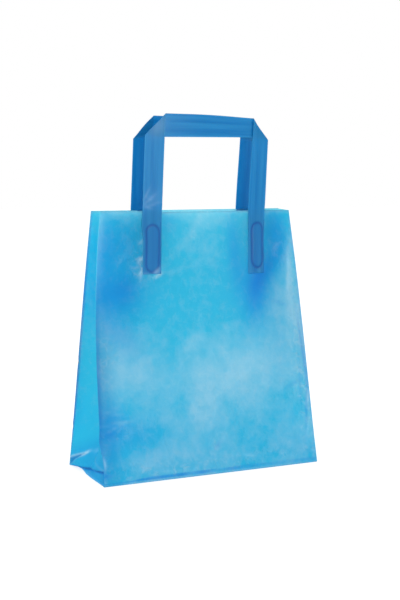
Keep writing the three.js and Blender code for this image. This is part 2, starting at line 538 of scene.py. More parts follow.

# Painted shade where the folded gussets and the back handle's feet lie behind the film, and along
# the panel's edges
DEEP_SHADE_PATCHES = [
    (3, 220, 55, 14, 90, 0.36),
    (0.5, 100, 72, 2.4, 90, 0.50),
    (6, 52, 34, 16, 90, 0.45),
    (20, 62, 20, 12, -20, 0.22),
    (3, 10, 5, 3, 0, 0.45),
    (10, 50, 7, 4, 0, 0.25),
    (246, 118, 36, 1.8, 93, 0.50),
    (244, 60, 22, 1.8, 82, 0.40),
    (249.5, 130, 130, 1.2, 90, 0.35),
    (24, 236, 28, 30, 0, 0.30),
    (38, 46, 30, 16, 0, 0.22),
    (24, 188, 28, 22, 0, 0.56),
    (131, 29, 5, 2.2, 50, 0.30),
    (230, 85, 10, 1.6, 20, 0.22),
    (222, 172, 10, 1.8, -20, 0.20),
    (239, 83, 26, 1.6, 86, 0.22),
    (24, 150, 26, 14, -40, 0.25),
    (193, 190, 34, 15, 78, 0.80),
    (214, 212, 24, 12, 45, 0.46),
    (226, 248, 26, 18, 90, 0.46),
    (168, 226, 40, 9, 90, 0.36),
    (80, 262, 10, 14, 90, 0.20),
    (34, 196, 12, 12, -40, 0.16),
    (176, 200, 14, 8, 90, 0.10),
]

# Where folded film shades the panel
SHADED_PATCHES = [
    (2, 108, 62, 14, 90, 0.38),
    (1, 95, 75, 3.0, 90, 0.12),
    (8, 30, 40, 12, 90, 0.16),
]

# Crushed places, full of sharp little creases
CRUSHED_PATCHES = [
    (48, 243, 7, 5, 0, 0.9),
    (48, 225, 7, 6, 0, 1.0),
    (51, 212, 8, 7, 0, 1.3),
    (70, 208, 8, 5, 0, 1.3),
    (14, 52, 18, 14, 0, 0.7),
    (10, 120, 12, 30, 0, 0.8),
    (242, 110, 90, 9, 90, 1.1),
    (225, 232, 14, 10, 40, 0.6),
    (70, 10, 60, 9, 0, 0.8),
    (185, 12, 60, 8, 0, 0.6),
    (132, 32, 12, 6, 30, 0.9),
    (150, 80, 60, 34, 0, 0.25),
    (118, 247, 6, 5, 0, 0.9),
    (40, 220, 30, 40, 0, 0.25),
]

# Painted highlights on a gusset's tuck
TUCK_GLINTS = [
    (67, 20.5, 4.5, 1.8, -40, 1.1),
    (56, 24.5, 2.6, 1.2, 90, 0.5),
    (38, 20.8, 3, 1.6, 8, 0.9),
]


def bloom_and_sheen_share(side, x, height):
    """How milky a panel's film is, with painted sheen: clearest at the top, where layers lie
    close.
    """
    reach = (x / MM - 105) / 105
    border = (142 + 45 * abs(reach) ** 3) * MM
    broad_cloud = 0.24 * rough(x, height, 34 * MM, 21.5 + side)
    small_cloud = 0.22 * rough(x, height, 13 * MM, 31.5 + side)
    cloud = broad_cloud + small_cloud
    below = smooth(border + 16 * MM, border - 26 * MM, height)
    share = below * (0.42 + cloud) + 0.3 * cloud * (1 - below)
    return min(max(share + patch_sum(SHEEN_AND_BLOOM_PATCHES, x, height), 0), 1.2)


def panel_marks(side, along_side, height):
    """Marks of a panel's film, apart from those of its folds, seam and hem."""
    x = as_front(side, along_side)
    near_edge = bump_at(min(x, PANEL_WIDTH - x), 8 * MM)
    # painted shade along the panel's foot, where it meets the floor
    hem = 0.4 * smooth(1.0 * MM, 0.3 * MM, height)
    crease = 0.0 if side else min(patch_sum(SHARP_CREASES_AND_GLINTS, x, height), 1)
    return {
        "crease": crease,
        "bloom_and_sheen": bloom_and_sheen_share(side, x, height),
        "deep_shade": min(patch_sum(DEEP_SHADE_PATCHES, x, height), 1),
        "shaded": min(patch_sum(SHADED_PATCHES, x, height) + hem, 1),
        "crushed": min(patch_sum(CRUSHED_PATCHES, x, height) + 0.2 * near_edge, 1.4),
        "gusset": 0.0,
    }


def tuck_creases_and_glints(across, height, ridge, second):
    """1 on a tuck's whitened creases with painted highlights: its ridge, its second crease, its
    foot, its glints.
    """
    back_part = smooth(60 * MM, 66 * MM, across)
    on_ridge = bump_at(height - ridge, 1.2 * MM) * (0.16 + 0.50 * back_part)
    meeting = bump_at(across - 64 * MM, 9 * MM)
    on_second = bump_at(height - second, 0.9 * MM) * back_part * (0.2 + meeting)
    at_foot = 0.2 * bump_at(height - 1.0 * MM, 1.0 * MM)
    glints = [patch_sum([spot], across, height) for spot in TUCK_GLINTS]
    return min(max(on_ridge, on_second, at_foot, *glints), 1)


def tuck_shade(across, height, fold, pocket):
    """How far a gusset is shaded: under the tuck's fold, in its pocket, by the front edge."""
    overhang = 0.8 * bump_at(height - fold + 0.6 * MM, 1.2 * MM)
    overhang *= smooth(98 * MM, 86 * MM, across)
    beside = 0.24 * bump_at(across, 14 * MM) * smooth(215 * MM, 175 * MM, height)
    return max(overhang, 0.34 * pocket, beside)


def tuck_deep_shade(across, height, fold, ridge, second, pocket):
    """How far a gusset is painted in deeper shade, where folded film lies behind it."""
    overhang = 0.8 * bump_at(height - fold + 0.7 * MM, 1.5 * MM)
    overhang *= smooth(98 * MM, 86 * MM, across)
    facet = 0.30 * smooth(second + 0.5 * MM, second - 0.5 * MM, height)
    facet *= smooth(fold - 1 * MM, fold, height)
    above = 0.32 * smooth(ridge + 24 * MM, ridge, height)
    above *= smooth(ridge - 0.5 * MM, ridge, height)
    below = 0.5 * smooth(fold + 0.2 * MM, fold - 0.8 * MM, height)
    return min(overhang + facet + 0.6 * pocket + above + below, 1)


def gusset_marks(side, along_side, height):
    """The same marks of a gusset's film: most of them lie on its tuck."""
    across = across_gusset(side, along_side)
    fold, ridge, second = tuck_lines(across)
    pocket = smooth(second - 0.4 * MM, second + 0.8 * MM, height)
    pocket *= smooth(ridge + 0.3 * MM, ridge - 0.8 * MM, height) * smooth(63 * MM, 68 * MM, across)
    # a gusset's milkiness, partly painted sheen: less low down
    bloom_and_sheen = 0.07 - 0.10 * smooth(170 * MM, 90 * MM, height)
    bloom_and_sheen -= 0.14 * smooth(50 * MM, 40 * MM, height)
    return {
        "crease": tuck_creases_and_glints(across, height, ridge, second),
        "bloom_and_sheen": bloom_and_sheen,
        "deep_shade": tuck_deep_shade(across, height, fold, ridge, second, pocket),
        "shaded": tuck_shade(across, height, fold, pocket),
        "crushed": 0.12,
        # painted light: the gusset drawn a brighter, clearer cyan than the panels, more so higher
        # up
        "gusset": 0.55 + 0.45 * smooth(100 * MM, 230 * MM, height),
    }


def fold_share(along, height):
    """1 on the film's pressed folds: the panels' edges and the gussets' creases."""
    along_side = along % SIDE_PITCH
    edge = min(along_side, abs(along_side - PANEL_WIDTH), SIDE_PITCH - along_side)
    is_front_left = min(along, 2 * SIDE_PITCH - along) < 20 * MM
    worn = 0.05 + 0.95 * smooth(170 * MM, 205 * MM, height) if is_front_left else 0.5
    middle = abs(along_side - PANEL_WIDTH - GUSSET_WIDTH / 2)
    return max(worn * bump_at(edge, 2.4 * MM), 0.8 * bump_at(middle, 1.5 * MM))


def seam_shade_share(along_side, height):
    """1 on the doubled film along the base's edge, drawn as painted shade, narrower towards a
    panel's end.
    """
    top = (3.0 + 2.4 * smooth(20 * MM, 60 * MM, along_side)) * MM
    top += 1.0 * MM * rough(along_side, 0, 26 * MM, 3.5)
    band = smooth(top + 0.8 * MM, top - 0.4 * MM, height) * smooth(1.2 * MM, 2.6 * MM, height)
    # uneven strength of the painted shade band, weaker far along the panel
    worn = 1.0 + 0.8 * rough(along_side, height, 12 * MM, 8.5)
    worn *= 1 - 0.55 * smooth(120 * MM, 175 * MM, along_side)
    # and a painted shade line along the film's foot
    return max(band * worn, 0.8 * smooth(0.9 * MM, 0.2 * MM, height))


def rim_share(height):
    """1 on the hem of single film at the mouth."""
    return smooth(3.4 * MM, 1.4 * MM, BAG_HEIGHT - height)


def film_marks(along, height):
    """Every mark of the film at a point of the wall."""
    side, along_side = side_of(along)
    if along_side <= PANEL_WIDTH:
        marks = panel_marks(side, along_side, height)
    else:
        marks = gusset_marks(side, along_side, height)
    marks["fold"] = fold_share(along, height)
    marks["seam"] = seam_shade_share(along_side, height)
    marks["rim"] = rim_share(height)
    return marks


# ---- mesh helpers ----

def make_mesh(name, points, faces, uvs, marks):
    """A mesh piece whose points carry their marks, each as an attribute of its own."""
    mesh = bpy.data.meshes.new(name)
    mesh.from_pydata(points, [], faces)
    layer = mesh.uv_layers.new(name="film")
    for loop in mesh.loops:
        layer.data[loop.index].uv = uvs[loop.vertex_index]
    for label in marks[0]:
        attribute = mesh.attributes.new(label, "FLOAT", "POINT")
        attribute.data.foreach_set("value", [mark[label] for mark in marks])
    mesh.shade_smooth()
    piece = bpy.data.objects.new(name, mesh)
    bpy.context.scene.collection.objects.link(piece)
    return piece


def add_wall(piece, thickness, inner_slot):
    """Gives a piece its thickness, inwards from the drawn face."""
    wall = piece.modifiers.new("film wall", "SOLIDIFY")
    wall.thickness = thickness
    wall.offset = -1
    wall.use_even_offset = True
    wall.use_rim = True
    wall.material_offset = inner_slot


# ---- bag body ----

# Marks of the base, apart from its folds
BASE_MARKS = {
    "crease": 0.0, "bloom_and_sheen": 0.2, "deep_shade": 0.3, "shaded": 0.0, "crushed": 0.2,
    "gusset": 0.0, "seam": 0.4, "rim": 0.0,
}


def body_heights():
    """Heights of the wall's rings: round the base's edge, close over the tucks, then wider."""
    rounded = [
        BASE_RADIUS * (1 - math.cos(math.pi / 2 * step / BASE_STEPS)) for step in range(BASE_STEPS)
    ]
    tuck_step = (TUCK_TOP - BASE_RADIUS) / TUCK_LEVELS
    upper_step = (BAG_HEIGHT - TUCK_TOP) / UPPER_LEVELS
    tuck = [BASE_RADIUS + tuck_step * level for level in range(TUCK_LEVELS)]
    upper = [TUCK_TOP + upper_step * level for level in range(UPPER_LEVELS + 1)]
    return rounded + tuck + upper


def rounded_in(spot, height):
    """Draws a point in where the wall turns under into the base."""
    below = max(1 - height / BASE_RADIUS, 0)
    drawn_in = BASE_RADIUS * (1 - math.sqrt(1 - below * below))
    spot.x *= 1 - drawn_in / (PANEL_WIDTH / 2)
    spot.y *= 1 - drawn_in / (GUSSET_WIDTH / 2)
    return spot


def base_lines(x, y):
    """Distances to the base's lines: an end flap's diagonal, the middle weld and the end."""
    from_end = PANEL_WIDTH / 2 - abs(x)
    from_side = GUSSET_WIDTH / 2 - abs(y)
    return (from_end - from_side) / math.sqrt(2), abs(y - BASE_WELD_Y), from_end


def base_fold(x, y):
    """1 on the base's weld, and less on the diagonals of its end flaps."""
    diagonal, weld, from_end = base_lines(x, y)
    flap = 0.7 * bump_at(diagonal, 1.2 * MM) if from_end < GUSSET_WIDTH / 2 else 0.0
    return max(flap, 0.8 * bump_at(weld, 1.5 * MM))


def base_height(x, y):
    """The base lies flat: its folded end flaps are a little higher than its long ones."""
    diagonal, weld, _ = base_lines(x, y)
    end_flap = smooth(0, 1.5 * MM, -diagonal)
    beside_weld = smooth(3 * MM, 4 * MM, weld)
    return (0.15 + 0.2 * end_flap * beside_weld) * MM


def base_rim(ring, rows):
    """Which points of the lowest ring are the edge of the base's grid of columns and rows."""
    half = ring // 2
    rim = {}
    for column in range(PANEL_COLUMNS + 1):
        rim[column, 0] = column
        rim[column, rows] = half + PANEL_COLUMNS - column
    for row in range(1, rows):
        rim[PANEL_COLUMNS, row] = PANEL_COLUMNS + row
        rim[0, row] = ring - row
    return rim


def close_base(points, uvs, marks, ring):
    """Adds a grid of points inside the lowest ring, and gives the base's faces."""
    rows = ring // 2 - PANEL_COLUMNS
    grid = base_rim(ring, rows)
    for row in range(1, rows):
        left, right = points[grid[0, row]], points[grid[PANEL_COLUMNS, row]]
        for column in range(1, PANEL_COLUMNS):
            spot = left.lerp(right, panel_share(column))
            grid[column, row] = len(points)
            points.append(Vector((spot.x, spot.y, base_height(spot.x, spot.y))))
            uvs.append((spot.x, spot.y))
            marks.append({**BASE_MARKS, "fold": base_fold(spot.x, spot.y)})
    corners = ((0, 0), (0, 1), (1, 1), (1, 0))
    return [
        tuple(grid[column + right, row + back] for right, back in corners)
        for row in range(rows) for column in range(PANEL_COLUMNS)
    ]


def bag_body():
    """The film as one shell: rings of the section up the wall, closed below by the base."""
    heights = body_heights()
    ring = len(loop_at(0))
    points, uvs, marks = [], [], []
    for height in heights:
        for point in loop_at(height):
            along = point[2]
            points.append(rounded_in(film_point(point, height), height))
            uvs.append((along, height))
            marks.append(film_marks(along, height))
    faces = []
    for start in range(0, ring * (len(heights) - 1), ring):
        for column in range(ring):
            here = start + column
            beside = start + (column + 1) % ring
            faces.append((here, beside, beside + ring, here + ring))
    faces += close_base(points, uvs, marks, ring)
    return make_mesh("carrier_film", points, faces, uvs, marks)


# ---- handles ----

Handle = namedtuple("Handle", "name node is_back offset top right_foot_in")

HANDLES = (
    Handle("front_tape_handle", "front_handle", False, 7 * MM, HANDLE_TOP, 5.5 * MM),
    Handle("back_tape_handle", "back_handle", True, -5.5 * MM, BACK_HANDLE_TOP, 0.0),
)

LEFT_LEG = "left leg"
BAND = "band"
RIGHT_LEG = "right leg"

# How many ridges to a turn fan out where the left leg buckles
LEG_RIDGES = 9

# Whitened crumples of the front handle's left leg with painted glints on them, as patches of the
# tape
LEG_CRUMPLE_GLINTS = [
    (10, 285, 12, 7, 20, 0.22),
    (4, 290, 7, 1.3, 60, 0.45),
    (8, 285, 9, 1.4, 35, 0.45),
    (13, 280, 9, 1.3, 15, 0.40),
    (6, 277, 6, 1.5, -15, 0.40),
    (15, 359, 11, 8, 45, 0.48),
    (19, 211, 5, 2.5, 40, 0.90),
    (5, 209, 5, 1.5, -10, 0.40),
]


def panel_point(is_back, along, out, height):
    """Point on a panel's outside: along it to the right seen from outside, out and up."""
    _, half_depth, _, _, _ = section_at(height)
    above = max(height - BAG_HEIGHT, 0) / (HANDLE_TOP - BAG_HEIGHT)
    lean = HANDLE_LEAN * above * (-1 if is_back else 1)
    if height < BAG_HEIGHT:
        out += max(panel_relief(int(is_back), PANEL_WIDTH / 2 + along, height), -TAPE_SINK)
    x, y = along + lean, -half_depth - out
    if is_back:
        x, y = -x, -y
    return place(x, y, height)


def weld_distance(across, height):
    """Distance from the weld's oblong outline, negative inside it."""
    radius = WELD_WIDTH / 2
    reach = max(abs(height - WELD_MIDDLE) - (WELD_LENGTH / 2 - radius), 0)
    return math.hypot(across, reach) - radius


def fold_over(beyond):
    """Tape that has gone past a fold line: how far beyond it lies now, and how far dropped."""
    radius = TAPE_FOLD_RADIUS
    arc = math.pi * radius
    if beyond <= -arc / 2:
        return beyond + arc / 2, 0.0
    if beyond >= arc / 2:
        return arc / 2 - beyond, 2 * radius
    angle = (beyond + arc / 2) / radius
    return radius * math.sin(angle), radius * (1 - math.cos(angle))


def fold_tape(across, length, leg):
    """Folds the flat tape at its two corners: (across the handle, up, out) of a point of it.

    The left leg goes up, the band goes to the right behind it, and the right leg goes down
    in front of the band.
    """
    beyond = (length - leg - across) / math.sqrt(2)
    lies, drop = fold_over(beyond)
    u, z = across + (beyond - lies) / math.sqrt(2), length - (beyond - lies) / math.sqrt(2)
    beyond = (u + z - HANDLE_SPAN - leg) / math.sqrt(2)
    lies, rise = fold_over(beyond)
    u, z = u - (beyond - lies) / math.sqrt(2), z - (beyond - lies) / math.sqrt(2)
    return u, z, rise - drop


def tape_part(across, length, leg):
    """Which part of the handle a point of the flat tape is on."""
    if leg + across < length < leg + HANDLE_SPAN - across:
        return BAND
    return RIGHT_LEG if length > leg + HANDLE_SPAN / 2 else LEFT_LEG


def tape_rows(leg):
    """Cross lines of the flat tape as (left edge length, right edge length), foot to foot."""
    foot = BAG_HEIGHT - HANDLE_FOOT + 3 * MM
    second = leg + HANDLE_SPAN
    end = second + leg
    stops = [
        ((0.0, 0.0), FOOT_ROWS),
        ((foot, foot), LEG_ROWS),
        ((leg - FOLD_MARGIN, leg + TAPE_WIDTH - FOLD_MARGIN), FOLD_ROWS),
        ((leg + FOLD_MARGIN, leg + TAPE_WIDTH + FOLD_MARGIN), BAND_ROWS),
        ((second - FOLD_MARGIN, second - TAPE_WIDTH - FOLD_MARGIN), FOLD_ROWS),
        ((second + FOLD_MARGIN, second - TAPE_WIDTH + FOLD_MARGIN), LEG_ROWS),
        ((end - foot, end - foot), FOOT_ROWS),
        ((end, end), 0),
    ]
    rows = []
    for (start, steps), (finish, _) in zip(stops, stops[1:]):
        for step in range(steps):
            share = step / steps
            rows.append(tuple(a + (b - a) * share for a, b in zip(start, finish)))
    return rows + [stops[-1][0]]


def rolled_band(handle, u, z, top):
    """Height on the band: its low edge has rolled up or down, and its top dips at the left."""
    left_end = smooth(0, TAPE_WIDTH, u)
    right_end = smooth(HANDLE_SPAN, HANDLE_SPAN - TAPE_WIDTH, u)
    rolled = (4.6 if handle.is_back else -1.4 + 3.5 * u / HANDLE_SPAN) * MM
    low_edge = (1.0 * MM * (1 - left_end) + rolled * left_end) * right_end
    top_edge = -1.1 * MM * (1 - smooth(0, 0.7 * HANDLE_SPAN, u))
    down = (top - z) / TAPE_WIDTH
    return z + top_edge * (1 - down) + low_edge * down


def stretched_leg(z, top):
    """Height on the left leg, which has crept a little below its turned corner."""
    z += 1.0 * MM * smooth(top - 2 * TAPE_WIDTH, top - TAPE_WIDTH, z)
    return z - 2.1 * MM * smooth(top - TAPE_WIDTH, top, z)


def bent_leg(u, z, out, climb):
    """The front handle's right leg, whose inner edge bends in and out and whose foot is lower."""
    inner = HANDLE_SPAN - TAPE_WIDTH
    mouth = BAG_HEIGHT - HANDLE_FOOT
    u += (0.7 + 0.9 * climb) * MM * smooth(0, mouth, z) * bump_at(u - inner, 15 * MM)
    out += 1.6 * MM * bump_at(u - inner, 6 * MM) * climb
    z -= 4 * MM * smooth(14 * MM, 0, z)
    return u, z, out


def settle(handle, part, u, z, out):
    """How a used handle differs from the ideal fold: (across, up, out) in the handle."""
    top = handle.top - HANDLE_FOOT
    mouth = BAG_HEIGHT - HANDLE_FOOT
    climb = smooth(mouth, top, z)
    sag = 0.0 if handle.is_back else 2.2 * MM * smooth(0.35 * HANDLE_SPAN, HANDLE_SPAN, u)
    sag *= smooth(mouth + 74 * MM, top, z)
    if part == BAND:
        z = rolled_band(handle, u, z, top)
    elif part == LEFT_LEG:
        z = stretched_leg(z, top)
    if handle.is_back and part != BAND:
        u -= 2.4 * MM * climb * bump_at(u - TAPE_WIDTH, 16 * MM)
    elif part == RIGHT_LEG:
        u, z, out = bent_leg(u, z, out, climb)
    return u, z - sag, out


def foot_narrowing(handle, part, from_middle, height):
    """The heat of the weld has drawn the tape's outer edge in a little at the feet."""
    outwards = from_middle / (TAPE_WIDTH / 2)
    if part == RIGHT_LEG:
        drawn_in = 0.0 if handle.is_back else 3.0 * MM
        return -drawn_in * smooth(285 * MM, 235 * MM, height) * max(outwards, 0)
    return 2.4 * MM * smooth(262 * MM, 240 * MM, height) * max(-outwards, 0)


def tape_marks(across, from_middle, height):
    """Marks of the tape: painted highlights on its folded edges, and at the feet the weld's
    outline, the painted shade beside it, and its inside.
    """
    from_weld = weld_distance(from_middle, height)
    beyond = from_middle - WELD_WIDTH / 2
    # painted shade beside the weld's right side, carried by the weld mark
    beside = smooth(0.5 * MM, 2.5 * MM, beyond) if height < 262 * MM else 0.0
    return {
        "weld": max(bump_at(from_weld, WELD_LINE), 0.7 * beside),
        "melt": smooth(0, 1.5 * MM, -from_weld),
        "edge": max(bump_at(across, 0.9 * MM), bump_at(TAPE_WIDTH - across, 0.9 * MM)),
        "crumple_sheen": 0.0,
    }


def leg_crumple_sheen(u, height):
    """Painted sheen and whitened crumples of the front handle's left leg, and less and less of its
    band.
    """
    # painted sheen on the front handle alone, fading along the band
    worn = 0.06 + 0.07 * smooth(262 * MM, 290 * MM, height)
    worn *= smooth(HANDLE_SPAN / 2, TAPE_WIDTH, u)
    return worn + patch_sum(LEG_CRUMPLE_GLINTS, u, height)


def leg_buckle(u, height):
    """Buckle of the left leg where it leaves the mouth: ridges that fan out of its edge."""
    near = streak(u, height, 10, 283, 14, 9, 10)
    fan = math.atan2(height - 291 * MM, u + 4 * MM)
    ridges = 0.8 + 0.5 * math.sin(fan * LEG_RIDGES)
    return near * ridges * MM


def tape_point(handle, leg, across, length):
    """Place and marks of a point of the flat tape, once it is folded, settled and welded."""
    part = tape_part(across, length, leg)
    u, z, out = settle(handle, part, *fold_tape(across, length, leg))
    height = HANDLE_FOOT + z
    middle = HANDLE_SPAN - TAPE_WIDTH / 2 if part == RIGHT_LEG else TAPE_WIDTH / 2
    marks = tape_marks(across, u - middle - WELD_OFFSET, height)
    u += foot_narrowing(handle, part, u - middle, height)
    if part == RIGHT_LEG:
        below_mouth = max(BAG_HEIGHT - height, 0) / (BAG_HEIGHT - HANDLE_FOOT)
        u -= handle.right_foot_in * below_mouth
    elif not handle.is_back:
        marks["crumple_sheen"] = leg_crumple_sheen(u, height)
        out += leg_buckle(u, height)
    emboss = MELT_RAISED * marks["melt"] - WELD_PRESSED * marks["weld"]
    out += TAPE_GAP + TAPE_THICKNESS + max(emboss, -TAPE_GAP)
    along = handle.offset - HANDLE_SPAN / 2 + u
    return panel_point(handle.is_back, along, out, height), marks


def handle_piece(handle):
    """One handle: a strip of tape from foot to foot."""
    leg = handle.top - TAPE_WIDTH - HANDLE_FOOT
    points, uvs, marks = [], [], []
    for left, right in tape_rows(leg):
        for column in range(TAPE_COLUMNS + 1):
            share = column / TAPE_COLUMNS
            across = TAPE_WIDTH * share
            length = left + (right - left) * share
            point, mark = tape_point(handle, leg, across, length)
            points.append(point)
            uvs.append((across, length))
            marks.append(mark)
    width = TAPE_COLUMNS + 1
    faces = [
        (here, here + 1, here + 1 + width, here + width)
        for start in range(0, len(points) - width, width)
        for here in range(start, start + TAPE_COLUMNS)
    ]
    return make_mesh(handle.name, points, faces, uvs, marks)


# ---- materials ----

POLYTHENE_IOR = 1.51

# Sizes of the film's patterns. A blown film's own grain is well under 0.1 mm and can't show, so
# its frosting is drawn as a coarser mottle, and its crinkles as coarse as the bigger real ones
MOTTLE_SIZE = 9.09 * MM
CRINKLE_SIZE = 11.76 * MM
CRINKLE_DEPTH = 0.5 * MM
FACET_SIZE = 6.67 * MM
FACET_BEND_SIZE = 16.67 * MM
FACET_BEND = 20 * MM
FACET_BREAK_SIZE = 7.69 * MM

# Lines along the tape: the edges of its folded layers, and its die lines, which are finer than
# 0.3 mm on the real tape and drawn as coarse as they need to show
LAYER_LINE_WIDTH = 5.88 * MM
LAYER_LINE_LENGTH = 143 * MM
DIE_LINE_WIDTH = 1.43 * MM
DIE_LINE_LENGTH = 83.3 * MM
DIE_LINE_DEPTH = 0.2 * MM

# How strongly the white marks show together, and the whitest that the film gets
WHITE_STRENGTH = 0.625
WHITEST = 0.62

# Share of the light that goes through a layer instead of coming back from its surface
FILM_PASSES = 0.66
TAPE_PASSES = 0.4


def linear(hex_colour):
    """sRGB hex to the linear colour that shaders take."""
    channels = []
    for start in (1, 3, 5):
        value = int(hex_colour[start:start + 2], 16) / 255
        channels.append(value / 12.92 if value <= 0.04045 else ((value + 0.055) / 1.055) ** 2.4)
    return (*channels, 1.0)


def add(tree, kind, inputs=None, output=0, **settings):
    """Adds a node with its settings, values and links, and gives one of its outputs."""
    made = tree.nodes.new(kind)
    for name, value in settings.items():
        setattr(made, name, value)
    for name, value in (inputs or {}).items():
        if isinstance(value, bpy.types.NodeSocket):
            tree.links.new(value, made.inputs[name])
        else:
            made.inputs[name].default_value = value
    return made.outputs[output] if made.outputs else None


def new_material(name):
    """An empty material and its node tree."""
    material = bpy.data.materials.new(name)
    material.use_nodes = True
    material.node_tree.nodes.clear()
    return material, material.node_tree


def marked(tree, label, weight):
    """How far a point carries a mark, times a weight or another share."""
    share = add(tree, "ShaderNodeAttribute", output="Fac", attribute_name=label)
    return add(tree, "ShaderNodeMath", {0: share, 1: weight}, operation="MULTIPLY")


def sum_shares(tree, shares):
    """Shares added up."""
    summed = shares[0]
    for share in shares[1:]:
        summed = add(tree, "ShaderNodeMath", {0: summed, 1: share}, operation="ADD")
    return summed


def lay_colours(tree, base, layers):
    """Colours laid over a base one after another, each as far as its own share."""
    colour = linear(base)
    for share, over in layers:
        inputs = {0: share, 6: colour, 7: linear(over)}
        colour = add(tree, "ShaderNodeMix", inputs, output=2, data_type="RGBA")
    return colour


def finish_film(tree, colour, passed, roughness, normal, passes):
    """Polythene's surface: a soft gloss over a colour that also lets light through."""
    surface = add(tree, "ShaderNodeBsdfPrincipled", {
        "Base Color": colour, "Roughness": roughness, "IOR": POLYTHENE_IOR, "Normal": normal,
    })
    through = add(tree, "ShaderNodeBsdfTranslucent", {"Color": passed, "Normal": normal})
    mixed = add(tree, "ShaderNodeMixShader", {0: passes, 1: surface, 2: through})
    add(tree, "ShaderNodeOutputMaterial", {"Surface": mixed})


def film_mottle(tree, place_on):
    """Uneven milkiness of the frosted film, more and less than its mean."""
    cloud = add(tree, "ShaderNodeTexNoise", {
        "Vector": place_on, "Scale": 1 / MOTTLE_SIZE, "Detail": 6.0, "Roughness": 0.74,
    }, "Fac")
    return add(tree, "ShaderNodeMapRange", {
        "Value": cloud, "From Min": 0.3, "From Max": 0.7, "To Min": -0.23, "To Max": 0.23,
    })


def film_veins(tree, crinkle):
    """Pale lines where one crinkle of the film turns into the next."""
    from_turn = add(tree, "ShaderNodeMath", {0: crinkle, 1: 0.5}, operation="SUBTRACT")
    from_turn = add(tree, "ShaderNodeMath", {0: from_turn}, operation="ABSOLUTE")
    return add(tree, "ShaderNodeMapRange", {
        "Value": from_turn, "From Min": 0.0, "From Max": 0.035, "To Min": 0.12, "To Max": 0.0,
    })


def crushed_facets(tree, place_on):
    """Sharp little creases of crushed film: broken lines between bent facets."""
    wander = add(tree, "ShaderNodeTexNoise", {
        "Vector": place_on, "Scale": 1 / FACET_BEND_SIZE, "Detail": 2.0,
    }, "Color")
    bent = add(tree, "ShaderNodeVectorMath", {
        0: wander, 1: (FACET_BEND, FACET_BEND, FACET_BEND), 2: place_on,
    }, operation="MULTIPLY_ADD")
    from_line = add(tree, "ShaderNodeTexVoronoi", {
        "Vector": bent, "Scale": 1 / FACET_SIZE, "Randomness": 1.0,
    }, "Distance", feature="DISTANCE_TO_EDGE")
    lines = add(tree, "ShaderNodeMapRange", {
        "Value": from_line, "From Min": 0.0, "From Max": 0.28, "To Min": 1.0, "To Max": 0.0,
    })
    breaks = add(tree, "ShaderNodeTexNoise", {
        "Vector": place_on, "Scale": 1 / FACET_BREAK_SIZE, "Detail": 1.0,
    }, "Fac")
    kept = add(tree, "ShaderNodeMapRange", {"Value": breaks, "From Min": 0.45, "From Max": 0.6})
    broken = add(tree, "ShaderNodeMath", {0: lines, 1: kept}, operation="MULTIPLY")
    return marked(tree, "crushed", broken)


def film_whiteness(tree, place_on, crinkle, facets):
    """How white the film is: worn folds and hem, milky frosting with painted sheen, mottle,
    crinkles and facets.
    """
    worn = add(tree, "ShaderNodeMath", {
        0: marked(tree, "rim", 0.5), 1: marked(tree, "fold", 0.35),
    }, operation="MAXIMUM")
    faint_facets = add(tree, "ShaderNodeMath", {0: facets, 1: 0.55}, operation="MULTIPLY")
    # the milkiness holds painted sheen as well as the film's frosting
    white = sum_shares(tree, [
        marked(tree, "bloom_and_sheen", 1.0), film_mottle(tree, place_on), film_veins(tree, crinkle),
        faint_facets, worn,
    ])
    white = add(tree, "ShaderNodeMath", {0: white, 1: WHITE_STRENGTH}, operation="MULTIPLY")
    return add(tree, "ShaderNodeClamp", {"Value": white, "Max": WHITEST})


def film_normal(tree, crinkle, facets):
    """The film's crinkles, and over them the facets of crushed places."""
    crinkled = add(tree, "ShaderNodeBump", {
        "Height": crinkle, "Strength": 0.7, "Distance": CRINKLE_DEPTH,
    })
    return add(tree, "ShaderNodeBump", {
        "Height": facets, "Strength": 0.9, "Distance": CRINKLE_DEPTH, "Normal": crinkled,
    })


def film_material():
    """Frosted blown polythene film.

    Blown high-density film is thin, crisp and full of fine scattering crystals: it glows with
    the light behind it, has a soft gloss, whitens where it is creased or crushed, and looks
    deeper where a second layer lies close behind it.
    """
    material, tree = new_material("frosted blown polythene film")
    place_on = add(tree, "ShaderNodeTexCoord", output="Object")
    crinkle = add(tree, "ShaderNodeTexNoise", {
        "Vector": place_on, "Scale": 1 / CRINKLE_SIZE, "Detail": 3.0, "Roughness": 0.45,
    }, "Fac")
    facets = crushed_facets(tree, place_on)
    # painted light: the gussets' brighter, clearer cyan than the panels'
    gusset = marked(tree, "gusset", 1.0)
    white = film_whiteness(tree, place_on, crinkle, facets)
    # painted shade where film lies behind, and along the doubled film of the base's edge
    deep_shade = add(tree, "ShaderNodeMath", {
        0: marked(tree, "deep_shade", 1.0), 1: marked(tree, "seam", 0.5),
    }, operation="MAXIMUM")
    shaded = marked(tree, "shaded", 1.0)
    # whitened creases, with painted highlights on them
    crease = marked(tree, "crease", 0.85)
    colour = lay_colours(tree, "#08b4da", [
        (gusset, "#08c2e8"), (white, "#eeedea"), (deep_shade, "#0887d2"),
        (shaded, "#2676b4"), (crease, "#f2fbff"),
    ])
    passed = lay_colours(tree, "#7cdbec", [
        (gusset, "#7af4f9"), (white, "#97e1f0"), (deep_shade, "#3fa6ea"),
        (shaded, "#2676b4"), (crease, "#d0f6ff"),
    ])
    finish_film(tree, colour, passed, 0.32, film_normal(tree, crinkle, facets), FILM_PASSES)
    return material


def clear_material():
    """The film's inner face, left clear so that the film's colour is drawn only once.

    Both faces of a real film are the same thin layer: its outer face gives all that is seen.
    """
    material, tree = new_material("inner face of clear film")
    clear = add(tree, "ShaderNodeBsdfTransparent")
    add(tree, "ShaderNodeOutputMaterial", {"Surface": clear})
    return material


